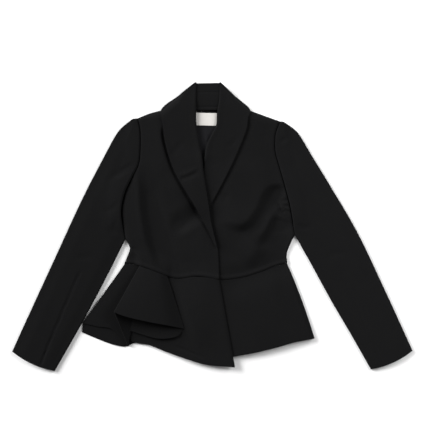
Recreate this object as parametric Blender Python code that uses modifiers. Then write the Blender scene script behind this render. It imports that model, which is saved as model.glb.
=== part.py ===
"""Peplum blazer with a shawl collar, laid flat on its back with the front up.

Metres, +Z up, +Y to the collar, +X to the right as seen from above. The part rests on Z = 0.
Left and right in the names are as seen from above. Tables are in millimetres.
"""
import math
from collections import namedtuple

import bmesh
import bpy
import numpy as np

MM = 0.001

# Cloth walls and the room between layers, mm
WALL = 1.6
FLUTE_WALL = 1.4
LINING_WALL = 1.0
LABEL_WALL = 0.6
SEAM_GAP = 0.3
LAYER_GAP = 0.6

# Loft of the fronts over the back, mm
FLOOR_TOP = WALL
EDGE_HEIGHT = FLOOR_TOP + SEAM_GAP
FRONT_LOFT = 2.7
EDGE_SOFT = 24.0
SHOULDER_SOFT = 34.0
UNDERLAP_DROP = 2.4
UNDERLAP_SOFT = 62.0
TUCK_LIFT = 2.3
TUCK_REACH = 78.0
TUCK_SOFT = 52.0
SLEEVE_LOFT = 3.5
SLEEVE_SOFT = 26.0

# Grid counts
ARMHOLE_ROWS = 10
SIDE_ROWS = 9
FRONT_COLUMNS = 14
BACK_COLUMNS = 10
SLEEVE_ROWS = 11
SLEEVE_COLUMNS = 8
LAPEL_COLUMNS = 6
COLLAR_ROWS = 6
PEPLUM_ROWS = 8
TURN_STEPS = 6
FOLD_STEPS = 3

Spot = namedtuple("Spot", "x y")
Hill = namedtuple("Hill", "x y half_x half_y soft height")
Crease = namedtuple("Crease", "x0 y0 x1 y1 left_width right_width depth")
Fold = namedtuple("Fold", "waist_x hem_x hem_y waist_z hem_z turns")

# Seam and edge lines of the body, from the neck down
SHOULDER_L = [Spot(-176, 255), Spot(-147, 267), Spot(-119, 274)]
SHOULDER_R = [Spot(159, 248), Spot(123, 261), Spot(87, 274)]
ARMHOLE_L = [Spot(-176, 255), Spot(-170, 225), Spot(-170, 179), Spot(-174, 147), Spot(-188, 119),
             Spot(-206, 80), Spot(-214, 40), Spot(-211, 5), Spot(-204, -28)]
ARMHOLE_R = [Spot(159, 248), Spot(149, 221), Spot(147, 199), Spot(148, 176), Spot(154, 153),
             Spot(171, 95), Spot(184, 43), Spot(193, -18)]
SIDE_L = [Spot(-204, -28), Spot(-194, -44), Spot(-194, -56), Spot(-206, -86)]
SIDE_R = [Spot(193, -18), Spot(183, -38), Spot(174, -62), Spot(175, -84)]
WAIST = [Spot(-206, -86), Spot(-182, -87), Spot(-137, -102), Spot(-85, -120), Spot(-34, -115),
         Spot(16, -122), Spot(42, -122), Spot(77, -116), Spot(117, -103), Spot(147, -91), Spot(175, -84)]
ROLL_L = [Spot(-38, 274), Spot(-37, 240), Spot(-30, 196), Spot(-24, 165), Spot(-19, 118), Spot(-8, 47)]
FRONT_EDGE_L = [Spot(-8, 47), Spot(-3, 12), Spot(4, -18), Spot(13, -54), Spot(16, -122)]
ROLL_R = [Spot(12, 274), Spot(10, 243), Spot(1, 222), Spot(-12, 196), Spot(-19, 158), Spot(-27, 70),
          Spot(-30, 22)]
FRONT_EDGE_R = [Spot(-30, 22), Spot(-32, -50), Spot(-29, -116)]
CENTRE_BACK_X = -10.0
NECK_Y = 274.0

# Lapels and collar
LAPEL_OUT_L = [Spot(-41, 339), Spot(-79, 309), Spot(-119, 277), Spot(-116, 240), Spot(-109, 193),
               Spot(-88, 130), Spot(-45, 57), Spot(-16, 5), Spot(3, -45)]
LAPEL_IN_L = [Spot(-37, 339), Spot(-38, 299), Spot(-38, 274)]
LAPEL_TIP_L = [Spot(-8, 47), Spot(-3, 12), Spot(4, -18), Spot(9, -44)]
LAPEL_OUT_R = [Spot(20, 339), Spot(53, 308), Spot(88, 277), Spot(84, 257), Spot(77, 221),
               Spot(44, 144), Spot(2, 64), Spot(-26, 24)]
LAPEL_IN_R = [Spot(17, 339), Spot(16, 299), Spot(12, 274)]
STAND_TOP = Spot(-10, 337)
STAND_TOP_HALF = 31.0
STAND_FOOT_HALF = 37.0
LABEL_WIDTH = 51.0
LABEL_HEIGHT = 29.5
LABEL_MIDDLE = Spot(-15, 253.0)
LABEL_TILT = math.radians(-1.5)
LINING_TOP_HALF = 38.0
LINING_FOOT = Spot(-18, 159)
LINING_FOOT_HALF = 9.0

# Sleeves: the folded outer edge and the underarm edge
SLEEVE_OUT_L = [Spot(-187, 254), Spot(-209, 237), Spot(-226, 217), Spot(-254, 166), Spot(-307, 63),
                Spot(-373, -80), Spot(-437, -219), Spot(-470, -292)]
UNDERARM_L = [Spot(-204, -28), Spot(-225, -71), Spot(-256, -132), Spot(-301, -217), Spot(-370, -338)]
SLEEVE_OUT_R = [Spot(168, 247), Spot(191, 231), Spot(206, 214), Spot(236, 164), Spot(275, 100),
                Spot(342, -15), Spot(409, -156), Spot(470, -290)]
UNDERARM_R = [Spot(193, -18), Spot(232, -87), Spot(278, -171), Spot(330, -260), Spot(372, -334)]

# Peplum hems and sides
BACK_HEM = [Spot(-306, -247), Spot(-258, -267), Spot(-225, -278), Spot(-200, -280), Spot(-170, -270),
            Spot(-50, -271), Spot(60, -270), Spot(150, -264), Spot(236, -254)]
RIGHT_HEM = [Spot(8, -312), Spot(53, -303), Spot(100, -294), Spot(150, -282), Spot(192, -270),
             Spot(240, -261)]
PEPLUM_FOOT_L = Spot(-306, -247)
PEPLUM_FOOT_R = Spot(240, -261)
FRONT_FOOT_L = Spot(53, -326)
RIGHT_PEPLUM_BOW = 3.0
BACK_SIDE_KNEE = Spot(-304, -227)
CUFF_BOW = 6.0

# Soft hills that raise the fronts
HILLS = [
    Hill(-95, 70, 30, 40, 50, 0.9),
    Hill(95, 70, 30, 40, 50, 0.9),
    Hill(-143, -98, 24, 10, 34, 3.4),
    Hill(130, -190, 10, 60, 40, 0.8),
]

# Largest folds of the fronts, from their deep end down
CREASES = [
    Crease(-172, 150, -158, 70, 8, 26, 2.2),
    Crease(-158, 70, -138, -15, 8, 26, 2.4),
    Crease(-138, -15, -104, -112, 8, 24, 2.6),
    Crease(168, 78, 112, 26, 14, 14, 2.0),
    Crease(112, 26, 62, 14, 14, 14, 1.4),
    Crease(170, 34, 112, -45, 13, 13, 2.0),
]

# Folds of the left peplum, in order from the side seam to the front edge
LEFT_FOLDS = [
    Fold(-205.5, -305, -225, 2.7, 2.7, False),
    Fold(-194, -270, -233, 3.0, 3.2, False),
    Fold(-182, -238, -238, 3.0, 3.2, False),
    Fold(-172, -214, -257, 2.9, 3.0, False),
    Fold(-163, -199, -276, 2.8, 2.9, True),
    Fold(-163, -199, -276, 5.6, 7.4, False),
    Fold(-166, -214, -236, 5.6, 13.0, False),
    Fold(-169, -228, -198, 5.6, 20.4, True),
    Fold(-169, -228, -198, 8.4, 23.2, False),
    Fold(-158, -200, -208, 8.6, 26.4, False),
    Fold(-140, -146, -221, 8.6, 25.6, False),
    Fold(-122, -92, -232, 8.4, 17.6, False),
    Fold(-107, -67, -238, 8.4, 11.8, True),
    Fold(-107, -67, -238, 5.6, 8.2, False),
    Fold(-110, -86, -256, 5.6, 8.0, False),
    Fold(-112, -142, -256, 5.6, 7.8, False),
    Fold(-114, -176, -251, 5.6, 7.6, False),
    Fold(-116, -185, -257, 5.6, 7.4, True),
    Fold(-116, -185, -257, 2.8, 2.9, False),
    Fold(-108, -172, -272, 2.9, 3.0, False),
    Fold(-95, -150, -276, 3.2, 3.2, False),
    Fold(-75, -112, -291, 3.8, 3.8, False),
    Fold(-45, -70, -306, 5.0, 4.8, False),
    Fold(-15, -15, -322, 5.6, 5.5, False),
    Fold(16, 53, -328, 5.6, 5.6, False),
]


def ease(amount):
    """Goes smoothly from 0 to 1 while the amount goes from 0 to 1."""
    amount = min(max(amount, 0.0), 1.0)
    return amount * amount * (3.0 - 2.0 * amount)


def line(spots, steps):
    """Gives steps + 1 points, evenly spaced, on a smooth line through a table's spots."""
    spots = np.array(spots, float)
    ends = np.vstack([2 * spots[0] - spots[1], spots, 2 * spots[-1] - spots[-2]])
    dense = []
    for i in range(len(spots) - 1):
        before, start, end, after = ends[i:i + 4]
        for t in np.linspace(0, 1, 24, endpoint=False):
            dense.append(0.5 * (2 * start + (end - before) * t
                                + (2 * before - 5 * start + 4 * end - after) * t ** 2
                                + (3 * start - before - 3 * end + after) * t ** 3))
    dense = np.array(dense + [spots[-1]])
    travel = np.concatenate([[0], np.cumsum(np.linalg.norm(np.diff(dense, axis=0), axis=1))])
    stops = np.linspace(0, travel[-1], steps + 1)
    return np.column_stack([np.interp(stops, travel, dense[:, k]) for k in range(dense.shape[1])])


def chain(*lines):
    """Joins lines end to end, leaving out each repeated point."""
    return np.vstack([lines[0]] + [part[1:] for part in lines[1:]])


def moved(edge, dx=0.0, dy=0.0):
    """Gives a line moved in plan, such as back from a seam by half its gap."""
    return np.asarray(edge, float) + np.array([dx, dy])


def straight(start, end, steps):
    """Gives steps + 1 points on the straight line between two spots."""
    return np.linspace(np.array(start, float), np.array(end, float), steps + 1)


def bowed(start, end, bow, steps):
    """Gives steps + 1 points on a line bowed out to the left of its travel by bow."""
    points = straight(start, end, steps)
    heading = (points[-1] - points[0]) / np.linalg.norm(points[-1] - points[0])
    out = np.array([-heading[1], heading[0]])
    share = np.linspace(0, 1, steps + 1)
    return points + np.outer(bow * 4 * share * (1 - share), out)


def filled(top, bottom, left, right):
    """Fills four edge lines with a grid of plan points, rows from top to bottom."""
    rows, columns = len(left) - 1, len(top) - 1
    grid = np.zeros((rows + 1, columns + 1, 2))
    for j in range(rows + 1):
        v = j / rows
        for i in range(columns + 1):
            u = i / columns
            across = (1 - u) * left[j] + u * right[j]
            down = (1 - v) * top[i] + v * bottom[i]
            corners = ((1 - u) * (1 - v) * top[0] + u * (1 - v) * top[-1]
                       + (1 - u) * v * bottom[0] + u * v * bottom[-1])
            grid[j, i] = across + down - corners
    return grid


def at_height(edge, y):
    """Gives the x of an edge line at a height y; the line runs downwards."""
    return float(np.interp(-y, -edge[:, 1], edge[:, 0]))


LEFT_SIDE = chain(line(ARMHOLE_L, ARMHOLE_ROWS * 3), line(SIDE_L, SIDE_ROWS),
                  straight(SIDE_L[-1], PEPLUM_FOOT_L, 8))
RIGHT_SIDE = chain(line(ARMHOLE_R, ARMHOLE_ROWS * 3), line(SIDE_R, SIDE_ROWS),
                   straight(SIDE_R[-1], PEPLUM_FOOT_R, 8))
LEFT_OPENING = chain(line(ROLL_L, 16), line(FRONT_EDGE_L, 12), straight(FRONT_EDGE_L[-1], FRONT_FOOT_L, 8))
UPPER_EDGE = np.array([Spot(-190, 250), Spot(-118, 274), Spot(-80, 305), Spot(-38, 378),
                       Spot(18, 378), Spot(50, 309), Spot(87, 274), Spot(171, 245)], float)
WAIST_LINE = line(WAIST, 60)


def waist_y(x):
    """Gives the height of the waist seam at x."""
    return float(np.interp(x, WAIST_LINE[:, 0], WAIST_LINE[:, 1]))


def crease_depth(crease, x, y):
    """Gives how far a crease sinks the cloth: steep on its left side, longer on its right."""
    along = np.array([crease.x1 - crease.x0, crease.y1 - crease.y0], float)
    length = np.linalg.norm(along)
    along /= length
    offset = np.array([x - crease.x0, y - crease.y0])
    travel = float(offset @ along)
    side = float(offset @ np.array([-along[1], along[0]]))
    width = crease.right_width if side > 0 else crease.left_width
    if travel < 0:
        end = ease(1 + travel / width)
    elif travel > length:
        end = ease(1 - (travel - length) / width)
    else:
        end = 1.0
    return crease.depth * ease(1 - abs(side) / width) * end


def front_height(x, y, *place):
    """Gives the underside height of the fronts over the floor, mm."""
    from_left = x - at_height(LEFT_SIDE, y)
    from_right = at_height(RIGHT_SIDE, y) - x
    from_top = float(np.interp(x, UPPER_EDGE[:, 0], UPPER_EDGE[:, 1])) - y
    inside = ease(from_left / EDGE_SOFT) * ease(from_right / EDGE_SOFT) * ease(from_top / SHOULDER_SOFT)
    loft = FRONT_LOFT
    for hill in HILLS:
        across = ease((hill.half_x + hill.soft - abs(x - hill.x)) / hill.soft)
        down = ease((hill.half_y + hill.soft - abs(y - hill.y)) / hill.soft)
        loft += hill.height * across * down
    sunk = max(crease_depth(crease, x, y) for crease in CREASES)
    return EDGE_HEIGHT + inside * max(loft - sunk, 0.15)


def right_front_height(x, y, *place):
    """Gives the underside of the right front, which dips to pass under the left one."""
    edge = at_height(LEFT_OPENING, y)
    under = ease((edge + UNDERLAP_SOFT - x) / UNDERLAP_SOFT) * ease((172 - y) / 26)
    return front_height(x, y) - UNDERLAP_DROP * under


def left_front_height(x, y, *place):
    """Gives the underside of the left front, which rises near its edge over the right lapel's foot."""
    from_edge = at_height(LEFT_OPENING, y) - x
    lift = ease((TUCK_REACH - from_edge) / TUCK_SOFT) * ease((192 - y) / 40) * ease((y + 18) / 34)
    return front_height(x, y) + TUCK_LIFT * lift


def over_collar(y):
    """Gives how far a lapel comes down past the neck seam, where no front lies under it."""
    return (WALL + LAYER_GAP) * ease((y - NECK_Y - 15) / 14)


def left_lapel_height(x, y, *place):
    return left_front_height(x, y) + WALL + LAYER_GAP - over_collar(y)


def right_lapel_height(x, y, *place):
    return right_front_height(x, y) + WALL + LAYER_GAP - over_collar(y)


def level(height):
    """Gives a flat underside at a height."""
    return lambda x, y, *place: height


def cloth(name, base_color, roughness):
    """Makes a plain material for one piece."""
    material = bpy.data.materials.new(name)
    material.use_nodes = True
    shader = material.node_tree.nodes["Principled BSDF"]
    shader.inputs["Base Color"].default_value = (*base_color, 1.0)
    shader.inputs["Roughness"].default_value = roughness
    return material


def piece(name, mesh_data, material):
    """Links a finished mesh as one named piece of the blazer."""
    bmesh.ops.recalc_face_normals(mesh_data, faces=mesh_data.faces[:])
    mesh = bpy.data.meshes.new(name)
    mesh_data.to_mesh(mesh)
    mesh_data.free()
    for face in mesh.polygons:
        face.use_smooth = True
    thing = bpy.data.objects.new(name, mesh)
    thing.data.materials.append(material)
    blazer.objects.link(thing)
    return thing


def laid(name, grid, underside, wall, material):
    """Lays a panel: a grid moved onto its plan points and underside, then drawn up by its wall."""
    rows, columns = grid.shape[0] - 1, grid.shape[1] - 1
    panel = bmesh.new()
    bmesh.ops.create_grid(panel, x_segments=columns, y_segments=rows, size=0.5)
    for vert in panel.verts:
        i = round((vert.co.x + 0.5) * columns)
        j = round((0.5 - vert.co.y) * rows)
        x, y = grid[j, i]
        vert.co = (x * MM, y * MM, underside(x, y, i / columns, j / rows) * MM)
    raised = bmesh.ops.extrude_face_region(panel, geom=panel.faces[:])
    upper = [part for part in raised["geom"] if isinstance(part, bmesh.types.BMVert)]
    bmesh.ops.translate(panel, verts=upper, vec=(0, 0, wall * MM))
    return piece(name, panel, material)


def fold_lines():
    """Gives the left peplum's middle surface as columns of (waist, hem) points, with round turns."""
    runs, run = [], []
    for fold in LEFT_FOLDS:
        run.append(fold)
        if fold.turns:
            runs.append(run)
            run = []
    runs.append(run)
    columns = []
    for number, run in enumerate(runs):
        waist = np.array([(f.waist_x, waist_y(f.waist_x) - 2 * SEAM_GAP, f.waist_z) for f in run], float)
        hem = np.array([(f.hem_x, f.hem_y, f.hem_z) for f in run], float)
        steps = FOLD_STEPS * (len(run) - 1)
        both = line(np.hstack([waist, hem]), steps)
        columns.extend((row[:3], row[3:]) for row in both)
        if number + 1 < len(runs):
            nearby = both[-2]
            following = runs[number + 1][0]
            for step in range(1, TURN_STEPS):
                angle = math.pi * step / TURN_STEPS
                ends = []
                for last, before, rise in ((both[-1][:3], nearby[:3], following.waist_z),
                                           (both[-1][3:], nearby[3:], following.hem_z)):
                    heading = (last - before)[:2]
                    heading = heading / np.linalg.norm(heading)
                    radius = (rise - last[2]) / 2
                    out = abs(radius) * math.sin(angle)
                    ends.append(np.array([last[0] + heading[0] * out, last[1] + heading[1] * out,
                                          last[2] + radius * (1 - math.cos(angle))]))
                columns.append(tuple(ends))
    return columns


def fluted(name, material):
    """Makes the left front peplum: one strip of cloth folded over itself, with a wall on both sides."""
    columns = fold_lines()
    count = len(columns) - 1
    strip = bmesh.new()
    bmesh.ops.create_grid(strip, x_segments=count, y_segments=PEPLUM_ROWS, size=0.5)
    for vert in strip.verts:
        i = round((vert.co.x + 0.5) * count)
        down = 0.5 - vert.co.y
        waist, hem = columns[i]
        vert.co = (waist + (hem - waist) * down) * MM
    thing = piece(name, strip, material)
    wall = thing.modifiers.new("wall", "SOLIDIFY")
    wall.thickness = FLUTE_WALL * MM
    wall.offset = 0.0
    wall.use_even_offset = True
    wall.use_rim = True
    return thing


def sleeve_height(x, y, u, v):
    """Gives the underside of a sleeve's upper layer, lofted between its two long edges."""
    width = 125.0
    from_edge = min(u, 1 - u) * width
    return EDGE_HEIGHT + SLEEVE_LOFT * ease(from_edge / SLEEVE_SOFT)


def stand_height(x, y, u, v):
    """Gives the underside of the collar stand, bowed a little between neck seam and roll."""
    return EDGE_HEIGHT + 0.7 * math.sin(math.pi * v)


for old in list(bpy.data.objects):
    bpy.data.objects.remove(old, do_unlink=True)
blazer = bpy.data.collections.new("peplum_blazer")
bpy.context.scene.collection.children.link(blazer)

HALF = SEAM_GAP / 2
armhole_l = line(ARMHOLE_L, ARMHOLE_ROWS)
armhole_r = line(ARMHOLE_R, ARMHOLE_ROWS)
left_edge = chain(armhole_l, line(SIDE_L, SIDE_ROWS))
right_edge = chain(armhole_r, line(SIDE_R, SIDE_ROWS))
body_rows = ARMHOLE_ROWS + SIDE_ROWS


def waist_between(x0, x1, steps):
    """Gives the waist seam between two x values, left to right."""
    return np.array([(x, waist_y(x)) for x in np.linspace(x0, x1, steps + 1)])


def top_between(shoulder, neck_x, steps):
    """Gives the shoulder seam and the neck seam as far as neck_x."""
    along_shoulder = steps // 2
    return chain(line(shoulder, along_shoulder),
                 straight(shoulder[-1], (neck_x, NECK_Y), steps - along_shoulder))


# Back: two bodice panels and the peplum, flat on the floor
for side, shoulder, edge, waist_end, sign in (("l", SHOULDER_L, left_edge, SIDE_L[-1].x, -1),
                                              ("r", SHOULDER_R, right_edge, SIDE_R[-1].x, 1)):
    middle = CENTRE_BACK_X + sign * HALF
    top = top_between(shoulder, middle, BACK_COLUMNS)
    bottom = waist_between(waist_end, middle, BACK_COLUMNS)
    centre = straight((middle, NECK_Y), (middle, bottom[-1][1]), body_rows)
    laid("back_bodice_" + side, filled(top, bottom, moved(edge, -sign * HALF), centre), level(0.0), WALL,
         cloth("back_bodice_" + side + "_cloth", (0.013, 0.013, 0.014), 0.85))

waist_back = chain(waist_between(SIDE_L[-1].x, CENTRE_BACK_X, BACK_COLUMNS),
                   waist_between(CENTRE_BACK_X, SIDE_R[-1].x, BACK_COLUMNS))
waist_back = moved(waist_back, 0, -SEAM_GAP)
back_hem = line(BACK_HEM, 2 * BACK_COLUMNS)
back_side = chain(straight(waist_back[0], BACK_SIDE_KNEE, 5), straight(BACK_SIDE_KNEE, back_hem[0], 1))
laid("peplum_back", filled(waist_back, back_hem, back_side,
                           bowed(waist_back[-1], back_hem[-1], RIGHT_PEPLUM_BOW, 6)), level(0.0), WALL,
     cloth("peplum_back_cloth", (0.012, 0.012, 0.013), 0.85))

# Fronts: the right one passes under the left one
opening_l = chain(line(ROLL_L, 11), line(FRONT_EDGE_L, body_rows - 11))
laid("front_l", filled(top_between(SHOULDER_L, ROLL_L[0].x, FRONT_COLUMNS),
                       waist_between(SIDE_L[-1].x, FRONT_EDGE_L[-1].x, FRONT_COLUMNS),
                       moved(left_edge, HALF), opening_l), left_front_height, WALL,
     cloth("front_l_cloth", (0.014, 0.014, 0.015), 0.85))
edge_foot = Spot(FRONT_EDGE_R[-1].x, waist_y(FRONT_EDGE_R[-1].x))
opening_r = chain(line(ROLL_R, 12), line(FRONT_EDGE_R[:-1] + [edge_foot], body_rows - 12))
laid("front_r", filled(top_between(SHOULDER_R, ROLL_R[0].x, FRONT_COLUMNS),
                       waist_between(SIDE_R[-1].x, FRONT_EDGE_R[-1].x, FRONT_COLUMNS),
                       moved(right_edge, -HALF), opening_r), right_front_height, WALL,
     cloth("front_r_cloth", (0.014, 0.014, 0.015), 0.85))

# Front peplums
fluted("peplum_front_l", cloth("peplum_front_l_cloth", (0.012, 0.012, 0.013), 0.85))
waist_right = moved(waist_between(FRONT_EDGE_R[-1].x, SIDE_R[-1].x, FRONT_COLUMNS), 0, -SEAM_GAP)
right_hem = line(RIGHT_HEM, FRONT_COLUMNS)
laid("peplum_front_r", filled(waist_right, right_hem, straight(waist_right[0], right_hem[0], PEPLUM_ROWS),
                              bowed(waist_right[-1], right_hem[-1], RIGHT_PEPLUM_BOW, PEPLUM_ROWS)),
     right_front_height, WALL, cloth("peplum_front_r_cloth", (0.012, 0.012, 0.013), 0.85))

# Sleeves: an under layer on the floor and an upper layer lofted over it
for side, outer, armhole, underarm, sign in (("l", SLEEVE_OUT_L, armhole_l, UNDERARM_L, -1),
                                             ("r", SLEEVE_OUT_R, armhole_r, UNDERARM_R, 1)):
    rows = ARMHOLE_ROWS + SLEEVE_ROWS
    outside = line(outer, rows)
    inside = moved(chain(armhole, line(underarm, SLEEVE_ROWS)), sign * HALF)
    for layer, columns, underside in (("under", 4, level(0.0)), ("top", SLEEVE_COLUMNS, sleeve_height)):
        grid = filled(straight(outside[0], inside[0], columns),
                      bowed(outside[-1], inside[-1], sign * CUFF_BOW, columns), outside, inside)
        laid("sleeve_" + side + "_" + layer, grid, underside, WALL,
             cloth("sleeve_" + side + "_" + layer + "_cloth", (0.015, 0.015, 0.016), 0.85))

# Shawl collar: fall on the floor, stand over it, and a lapel on each front
neck_l = (LAPEL_OUT_L[2].x + 2, NECK_Y + SEAM_GAP)
neck_r = (LAPEL_OUT_R[2].x - 2, NECK_Y + SEAM_GAP)
fall_grid = filled(straight((-38, 338), (18, 339), 8), straight(neck_l, neck_r, 8),
                   line([Spot(-38, 338), Spot(-76, 307), Spot(*neck_l)], COLLAR_ROWS),
                   line([Spot(18, 339), Spot(53, 307), Spot(*neck_r)], COLLAR_ROWS))
laid("collar_fall", fall_grid, level(0.0), WALL, cloth("collar_fall_cloth", (0.014, 0.014, 0.015), 0.85))
stand_top = straight((STAND_TOP.x - STAND_TOP_HALF, STAND_TOP.y),
                     (STAND_TOP.x + STAND_TOP_HALF, STAND_TOP.y), 6)
stand_foot = straight((STAND_TOP.x - STAND_FOOT_HALF, NECK_Y + SEAM_GAP),
                      (STAND_TOP.x + STAND_FOOT_HALF, NECK_Y + SEAM_GAP), 6)
laid("collar_stand", filled(stand_top, stand_foot, straight(stand_top[0], stand_foot[0], COLLAR_ROWS),
                            straight(stand_top[-1], stand_foot[-1], COLLAR_ROWS)), stand_height, WALL,
     cloth("collar_stand_cloth", (0.013, 0.013, 0.014), 0.85))
lapel_rows = 24
inner_l = chain(line(LAPEL_IN_L, 5), line(ROLL_L, 13), line(LAPEL_TIP_L, lapel_rows - 18))
outer_l = line(LAPEL_OUT_L, lapel_rows)
laid("lapel_l", filled(straight(outer_l[0], inner_l[0], LAPEL_COLUMNS),
                       straight(outer_l[-1], inner_l[-1], LAPEL_COLUMNS), outer_l, inner_l),
     left_lapel_height, WALL, cloth("lapel_l_cloth", (0.015, 0.015, 0.016), 0.85))
inner_r = chain(line(LAPEL_IN_R, 6), line(ROLL_R, lapel_rows - 6))
outer_r = line(LAPEL_OUT_R, lapel_rows)
laid("lapel_r", filled(straight(outer_r[0], inner_r[0], LAPEL_COLUMNS),
                       straight(outer_r[-1], inner_r[-1], LAPEL_COLUMNS), outer_r, inner_r),
     right_lapel_height, WALL, cloth("lapel_r_cloth", (0.015, 0.015, 0.016), 0.85))

# Lining and bare label, which show in the neck opening
lining_top = straight((CENTRE_BACK_X - LINING_TOP_HALF, NECK_Y),
                      (CENTRE_BACK_X + LINING_TOP_HALF, NECK_Y), 4)
lining_foot = straight((LINING_FOOT.x - LINING_FOOT_HALF, LINING_FOOT.y),
                       (LINING_FOOT.x + LINING_FOOT_HALF, LINING_FOOT.y), 4)
laid("back_lining", filled(lining_top, lining_foot, straight(lining_top[0], lining_foot[0], 6),
                           straight(lining_top[-1], lining_foot[-1], 6)), level(EDGE_HEIGHT), LINING_WALL,
     cloth("back_lining_satin", (0.02, 0.02, 0.022), 0.4))


def label_spot(across, down):
    """Gives a plan point of the label, turned by its small tilt."""
    dx = (across - 0.5) * LABEL_WIDTH
    dy = (0.5 - down) * LABEL_HEIGHT
    return (LABEL_MIDDLE.x + dx * math.cos(LABEL_TILT) - dy * math.sin(LABEL_TILT),
            LABEL_MIDDLE.y + dx * math.sin(LABEL_TILT) + dy * math.cos(LABEL_TILT))


label_top, label_foot = (straight(label_spot(0, end), label_spot(1, end), 2) for end in (0, 1))
label_left, label_right = (straight(label_spot(end, 0), label_spot(end, 1), 2) for end in (0, 1))
laid("label", filled(label_top, label_foot, label_left, label_right),
     level(EDGE_HEIGHT + LINING_WALL + SEAM_GAP), LABEL_WALL, cloth("label_woven", (0.72, 0.71, 0.69), 0.7))
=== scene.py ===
"""Looks of a peplum blazer with a shawl collar, laid flat with its front up.

It is laid out as an add-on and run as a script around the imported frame, whose outlines its tables repeat.
Metres, +Z up, +Y to the collar. Left and right are as seen from above. Tables are in millimetres.
"""
import math
from collections import namedtuple

import bmesh
import bpy
import numpy as np
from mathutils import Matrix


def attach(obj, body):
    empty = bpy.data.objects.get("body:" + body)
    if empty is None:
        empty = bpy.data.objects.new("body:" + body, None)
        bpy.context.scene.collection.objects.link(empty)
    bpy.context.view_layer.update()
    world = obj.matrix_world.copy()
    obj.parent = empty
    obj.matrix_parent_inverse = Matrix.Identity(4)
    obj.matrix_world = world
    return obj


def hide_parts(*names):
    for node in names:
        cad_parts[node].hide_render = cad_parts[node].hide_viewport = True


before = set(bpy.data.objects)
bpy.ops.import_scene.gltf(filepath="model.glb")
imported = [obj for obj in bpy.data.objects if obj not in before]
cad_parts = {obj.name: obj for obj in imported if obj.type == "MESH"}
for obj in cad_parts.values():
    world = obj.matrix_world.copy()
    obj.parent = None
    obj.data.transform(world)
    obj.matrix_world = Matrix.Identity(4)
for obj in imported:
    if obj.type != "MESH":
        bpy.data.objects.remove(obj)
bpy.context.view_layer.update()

bl_info = {
    "name": "Peplum blazer",
    "version": (1, 0, 0),
    "blender": (4, 5, 0),
    "location": "3D View > Sidebar > Blazer",
    "description": "Dresses the solids of a laid-out peplum blazer as wool cloth",
    "category": "Object",
}

MM = 0.001
BODY = "root"

Spot = namedtuple("Spot", "x y")
Level = namedtuple("Level", "x height")
Span = namedtuple("Span", "low low_soft high high_soft")
Hill = namedtuple("Hill", "x y half_x half_y soft height")
Ripple = namedtuple("Ripple", "turn_x turn_y start")
Wrinkle = namedtuple("Wrinkle", "height left right fade_in fade_out path")
Fold = namedtuple("Fold", "waist_x hem_x hem_y waist_z hem_z turns")
Column = namedtuple("Column", "waist hem layer")
Softbox = namedtuple("Softbox", "name place size power")

# Walls, the room between layers and the rounding of cut edges, mm
WALL = 1.6
FLUTE_WALL = 1.5
SLEEVE_WALL = 1.2
LAPEL_WALL = 1.8
LINING_WALL = 1.0
LABEL_WALL = 0.6
SEAM_GAP = 0.3
LAYER_GAP = 0.6
EDGE_HEIGHT = WALL + SEAM_GAP
FLUTE_ROUND = 0.6
SLEEVE_ROUND = 0.45
MOST_ROUND_SHARE = 0.42
ROUND_STEPS = 3
ROUND_ANGLE = math.radians(58)

# Distance below which two points are one: millimetres in a plan and metres in a mesh
LEAST_DISTANCE = 1e-6

# How the fronts lie: their loft, their rounded edges and the tuck beside the left arm
FRONT_LOFT = 3.0
EDGE_ROLL = 5.2
EDGE_ROLL_REACH = 6.0
EDGE_SOFT = 18.0
SIDE_SOFT = 60.0
UPPER_EDGE_SLANT = 0.8
CREASE_FADE = 6.0
ARMHOLE_TUCK = 1.8
ARMHOLE_TUCK_REACH = 14.0
ARMHOLE_TUCK_SPAN = Span(-60, 40, 150, 60)
LOWEST_DROP = 0.1
LOWEST_SOFT = 0.6

# Where the right front dips to pass under the left one, and where the left one rises over it
UNDERLAP_DROP = 2.4
UNDERLAP_SOFT = 62.0
UNDERLAP_HIDDEN_DROP = 2.8
UNDERLAP_HIDDEN_SOFT = 20.0
UNDERLAP_TOP = 172.0
UNDERLAP_TOP_SOFT = 26.0
OVERLAP_LIFT = 2.3
OVERLAP_REACH = 78.0
OVERLAP_SOFT = 52.0
OVERLAP_TOP = 192.0
OVERLAP_KNEE = 10.0
OVERLAP_FADE = 40.0
OVERLAP_LEAST = 0.35

# How the sleeves lie
SLEEVE_LOFT = 1.8
SLEEVE_SOFT = 30.0
SLEEVE_EDGE_RADIUS = 2.9
SLEEVE_CREASE_FADE = 8.0
SLEEVE_RIPPLE_FADE = 10.0
SLEEVE_HEAD_Y = 200.0
CAP_LIFT = 3.4
CAP_REACH = 40.0
CAP_FOOT = -20.0
CAP_SOFT = 50.0
UNDERARM_LIFT_L = 2.6
UNDERARM_LIFT_R = 1.0
UNDERARM_REACH = 70.0
UNDERARM_SPAN = Span(-30, 40, 150, 60)

# How the lapels lie, with their roll lines
LAPEL_FULL_WIDTH = 40.0
LAPEL_CREASE_FADE = 6.0
LAPEL_EDGE_LIFT = 0.6
LAPEL_EDGE_REACH = 14.0
LAPEL_EDGE_FADE = 30.0
ROLL_RIDGE = 0.9
ROLL_REACH = 18.0
ROLL_ROUND = 2.6
ROLL_ROUND_REACH = 4.5
ROLL_DEEPEST = -1.0
ROLL_FOOT = 60.0
ROLL_FADE = 90.0
COLLAR_STEP_START = 6.0
COLLAR_STEP_SOFT = 56.0
BACK_TUCK = 0.9

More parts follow.
